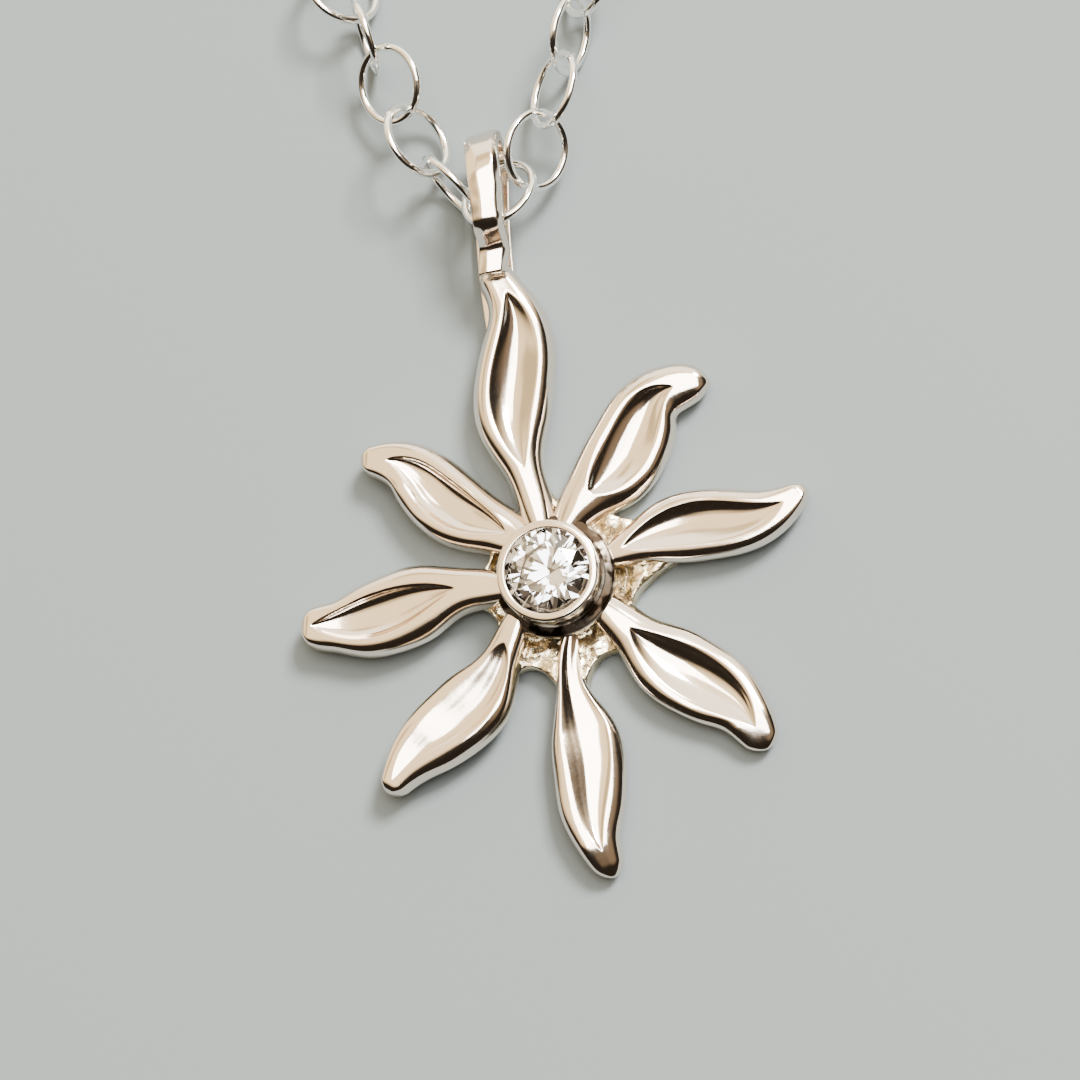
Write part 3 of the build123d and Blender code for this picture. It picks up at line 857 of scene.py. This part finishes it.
# The links nearest the bail: heading counter-clockwise from east, height of the outer joint as a share of
# the resting chain's, tilt over from lying flat, and share of a taut link's stretch.
NearLink = namedtuple("NearLink", "heading height tilt span")
nearLeft = [
    NearLink(127, 1.43, -80, 0.98),
    NearLink(105, 1.62, -124, 1.00),
    NearLink(109, 1.66, -34, 1.00),
    NearLink(105, 1.02, 103, 0.94),
]
nearRight = [
    NearLink(13, 1.91, -32, 0.92),
    NearLink(60, 1.84, 56, 1.00),
    NearLink(72, 1.68, -49, 1.00),
    NearLink(63, 1.02, 78, 0.98),
]

linkRadius = (chainLook["linkOuter"] - chainLook["wire"]) / 2
linkSpan = 2 * linkRadius - chainLook["wire"] - chainLook["gap"]
restHeight = linkRadius * math.sin(math.radians(chainLook["tilt"])) + chainLook["wire"] / 2


def nearJoints(rows):
    # from joint to joint: each link climbs to its row's height, and its level step is what its span leaves
    # for it
    start = (chainLook["jointEast"], bailLook["foldMiddle"] - chainLook["jointSouth"], bailLook["foldRadius"])
    joints = [np.array(start)]
    for row in rows:
        span = linkSpan * row.span
        climb = restHeight * row.height - joints[-1][2]
        joints.append(joints[-1] + polarPoint(math.sqrt(span**2 - climb**2), row.heading) + (0, 0, climb))
    return np.array(joints)


def farJoints(start, end, spans):
    # a straight leg, a round and a leg back, as long as the spans together; each joint is met by its travel
    angle = chainLook["legAngle"]
    leg = math.radians(angle)
    across = (end[0] - start[0]) / math.sin(leg)
    uneven = (start[1] - end[1]) / math.cos(leg)
    turn = math.pi + 2 * leg
    radius = (sum(spans) + across) / (2 / math.tan(leg) + turn)
    firstLeg = radius / math.tan(leg) - (across + uneven) / 2
    centre = start + polarPoint(firstLeg, 90 + angle) + polarPoint(radius, angle)
    travel = np.concatenate([[0], np.cumsum(spans)[:-1]])
    pastLeg = travel - firstLeg
    pastRound = pastLeg - radius * turn
    outLeg = start + polarPoint(1, 90 + angle) * travel[:, None]
    onRound = centre + polarPoint(radius, 180 + angle - np.degrees(pastLeg / radius))
    backLeg = centre + polarPoint(radius, -angle) + polarPoint(1, -90 - angle) * pastRound[:, None]
    joints = np.where((pastLeg < 0)[:, None], outLeg, np.where((pastRound < 0)[:, None], onRound, backLeg))
    return np.concatenate([joints, [end]])


def ringFrames(starts, ends, tilts):
    # each ring's middle, its direction along the chain and its other direction in its own plane
    along = unit(ends - starts)
    level = unit(np.cross((0, 0, 1), along))
    lean = np.radians(tilts)[:, None]
    across = level * np.cos(lean) + np.cross(along, level) * np.sin(lean)
    return (starts + ends) / 2, along, across


def ringSurface(frames, radius, wireRadius, around, facets, flattening=0.0, seed=0):
    # a round wire bent to a circle; flattening thins it across the ring's plane in three places
    middle, along, across = (part[:, None, None] for part in frames)
    turn = np.linspace(0, 2 * math.pi, around, endpoint=False)[None, :, None, None]
    inPlane = along * np.cos(turn) + across * np.sin(turn)
    axis = np.cross(along, across)
    angle = np.linspace(0, 2 * math.pi, facets, endpoint=False)[None, None, :, None]
    random = np.random.default_rng(seed)
    start = random.uniform(0, 2 * math.pi, (len(frames[0]), 1, 1, 1))
    squeeze = 1 - flattening * (0.5 + 0.5 * np.cos(3 * turn + start)) * np.sin(angle) ** 2
    outwards = inPlane * (radius + wireRadius * np.cos(angle))
    return middle + outwards + axis * wireRadius * squeeze * np.sin(angle)


def sideLinks(near, rows, starts, ends, leans, seed):
    # one side's links: those near the bail tilt by their own rows, and the others to one side and the other
    # by turns
    look = chainLook
    tilts = np.concatenate([[row.tilt for row in rows], leans * look["tilt"]])
    frames = ringFrames(np.concatenate([near[:-1], starts]), np.concatenate([near[1:], ends]), tilts)
    radius = look["wireShown"] / 2
    return ringSurface(frames, linkRadius, radius, look["around"], look["facets"], look["flattening"], seed)


def claspSurface(start, end, lean):
    # two rings in one plane: the eye that the last link holds, sunk into the clasp's own round tube
    look = chainLook
    tilt = lean * math.degrees(math.asin((restHeight - look["claspTube"]) / look["claspRadius"]))
    _, along, across = ringFrames(start[None], end[None], np.array([tilt]))
    eyeMiddle = start + along * (look["eyeRadius"] - look["eyeWire"] - look["gap"] / 2)
    ringMiddle = end - along * (look["claspRadius"] - look["claspTube"] - look["gap"] / 2)
    counts = (look["claspAround"], look["claspFacets"])
    ring = ringSurface((ringMiddle, along, across), look["claspRadius"], look["claspTube"], *counts)
    eye = ringSurface((eyeMiddle, along, across), look["eyeRadius"], look["eyeWire"], *counts)
    return np.concatenate([ring, eye])


halfGap = chainLook["gap"] / 2
endRingRadius = (restHeight - chainLook["endRingWire"]) / math.sin(math.radians(chainLook["endRingTilt"]))
endSpan = 2 * (endRingRadius - chainLook["endRingWire"] - halfGap)
eyeSpan = 2 * chainLook["eyeRadius"] - chainLook["eyeWire"] - halfGap
claspSpan = eyeSpan + 2 * chainLook["claspRadius"] - chainLook["claspTube"] - halfGap
nearLength = linkSpan * sum(row.span for row in nearLeft + nearRight)
farLinks = (chainLook["length"] - nearLength - claspSpan - endSpan) / linkSpan
perSide = round((farLinks - 1) / 2)
atClasp = perSide + 1  # the joint where the clasp starts, with its end ring and the right side after it
spans = [linkSpan] * atClasp + [claspSpan, endSpan] + [linkSpan] * perSide
left, right = nearJoints(nearLeft), nearJoints(nearRight)
far = farJoints(left[-1], right[-1], spans)
leans = np.where(np.arange(len(spans)) % 2 == 0, 1.0, -1.0)

leftFar = (far[:atClasp], far[1 : atClasp + 1], leans[:atClasp])
rightFar = (far[atClasp + 2 : -1], far[atClasp + 3 :], leans[atClasp + 2 :])
leftLinks = sideLinks(left, nearLeft, *leftFar, chainLook["leftSeed"])
rightLinks = sideLinks(right, nearRight, *rightFar, chainLook["rightSeed"])
buildPiece("chainLeft", leftLinks, wire, wrapRows=True, nodes=["chain_left"], slot="chain_silver")
buildPiece("chainRight", rightLinks, wire, wrapRows=True, nodes=["chain_right"], slot="chain_silver")

clasp = claspSurface(far[atClasp], far[atClasp + 1], leans[atClasp])
buildPiece("clasp", clasp, wire, wrapRows=True, nodes=["clasp"], slot="chain_silver")
endTilt = leans[atClasp + 1] * chainLook["endRingTilt"]
endFrames = ringFrames(far[atClasp + 1][None], far[atClasp + 2][None], np.array([endTilt]))
endSizes = (chainLook["endRingWire"], chainLook["around"], chainLook["endRingFacets"])
endRing = ringSurface(endFrames, endRingRadius, *endSizes)
buildPiece("endRing", endRing, wire, wrapRows=True, nodes=["end_ring"], slot="chain_silver")
print("chain made:", len(leftLinks), "links left and", len(rightLinks), "right")

stageLook = {
    "floor": "#687073",
    "floorRoughness": 0.9,
    "floorReach": 1600,
    "skyTowards": (-0.15, 0.8, 0.58),
    "skyRange": (0.28, 0.7),
    "sky": "#E7CB9F",
    "shade": "#17130F",
    "strength": 3.2,
    "lamp": "#FFFCF5",
    "lampUp": (0, 1, 0.001),
}

# Soft cards in the studio: which way each lies, the angles from its middle where it starts to fade and
# ends, and its colour.
Card = namedtuple("Card", "bearing elevation solid faded color")
cards = [
    Card(80, 20, 20, 45, "#FFF3DC"),
    Card(152, 42, 6, 15, "#A48F6C"),
    Card(108, 46, 4, 10, "#B8A178"),
    Card(-20, 50, 12, 30, "#5A4B3A"),
]

# Square soft lights that face the pendant: which way each lies, how far off, how wide, and its power in
# watts.
Lamp = namedtuple("Lamp", "name bearing elevation distance size power")
lamps = [
    Lamp("overhead", 25, 75, 500, 320, 4.0),
    Lamp("window", 40, 47, 600, 160, 15.0),
]


def addFloor():
    reach = stageLook["floorReach"] * mm
    mesh = bpy.data.meshes.new("floor")
    corners = [(-reach, -reach, 0), (reach, -reach, 0), (reach, reach, 0), (-reach, reach, 0)]
    mesh.from_pydata(corners, [], [(0, 1, 2, 3)])
    floor = bpy.data.objects.new("floor", mesh)
    bpy.context.scene.collection.objects.link(floor)
    settings = {"Base Color": linearColor(stageLook["floor"]), "Roughness": stageLook["floorRoughness"]}
    mesh.materials.append(newMaterial("paleFloor", settings)[0])


def addSky():
    # pale warm walls to the north and west, falling to dark in the south and east where nothing is lit
    world = bpy.data.worlds.new("studio")
    bpy.context.scene.world = world
    world.use_nodes = True
    tree = world.node_tree
    tree.nodes.clear()
    place = addNode(tree, "ShaderNodeTexCoord")

    def layer(color, beneath, towards, start, end):
        # a colour laid over what is beneath, wherever the direction is near enough to this one
        near = addNode(
            tree,
            "ShaderNodeVectorMath",
            {"operation": "DOT_PRODUCT", 1: tuple(towards)},
            {0: place.outputs["Generated"]},
        )
        share = addNode(
            tree,
            "ShaderNodeMapRange",
            {"From Min": start, "From Max": end, "interpolation_type": "SMOOTHSTEP"},
            {"Value": near.outputs["Value"]},
        )
        mixed = addNode(
            tree,
            "ShaderNodeMix",
            {"data_type": "RGBA", 7: linearColor(color)},
            {0: share.outputs["Result"]},
        )
        if isinstance(beneath, str):
            mixed.inputs[6].default_value = linearColor(beneath)
        else:
            tree.links.new(beneath, mixed.inputs[6])
        return mixed.outputs[2]

    color = layer(stageLook["sky"], stageLook["shade"], stageLook["skyTowards"], *stageLook["skyRange"])
    for card in cards:
        towards = skyward(card.bearing, card.elevation)
        color = layer(card.color, color, towards, *np.cos(np.radians([card.faded, card.solid])))
    light = addNode(tree, "ShaderNodeBackground", {"Strength": stageLook["strength"]}, {"Color": color})
    addNode(tree, "ShaderNodeOutputWorld", links={"Surface": light.outputs["Background"]})


def addLamp(row):
    data = bpy.data.lights.new(row.name, "AREA")
    data.shape = "SQUARE"
    data.size = row.size * mm
    data.energy = row.power
    data.color = linearColor(stageLook["lamp"])[:3]
    lamp = bpy.data.objects.new(row.name, data)
    away = skyward(row.bearing, row.elevation)
    lamp.matrix_world = facing(hub + away * row.distance * mm, away, stageLook["lampUp"])
    bpy.context.scene.collection.objects.link(lamp)


cameraLook = {
    "tilt": 16.0,  # off straight down, and the bearing that it leans to in the picture
    "lean": -41.0,
    "north": 9.0,  # how far the pendant's north is turned in the picture
    "distance": 170.0,
    "aim": (-0.544, 1.784, 0.452),
    "lens": 145.07,
    "sensor": 36.0,
    "clipStart": 5.0,
}


def addCamera():
    # the picture's up is the pendant's north turned clockwise, and the camera leans from straight above
    look = cameraLook
    back = skyward(look["lean"] - look["north"], 90 - look["tilt"])
    up = polarPoint(1, 90 - look["north"])
    data = bpy.data.cameras.new("camera")
    data.lens = look["lens"]
    data.sensor_width = look["sensor"]
    data.clip_start = look["clipStart"] * mm
    camera = bpy.data.objects.new("camera", data)
    aim = hub + np.array(look["aim"]) * mm
    camera.matrix_world = facing(aim + back * look["distance"] * mm, back, up)
    bpy.context.scene.collection.objects.link(camera)
    bpy.context.scene.camera = camera


addFloor()
addSky()
for row in lamps:
    addLamp(row)
addCamera()
print("stage set")
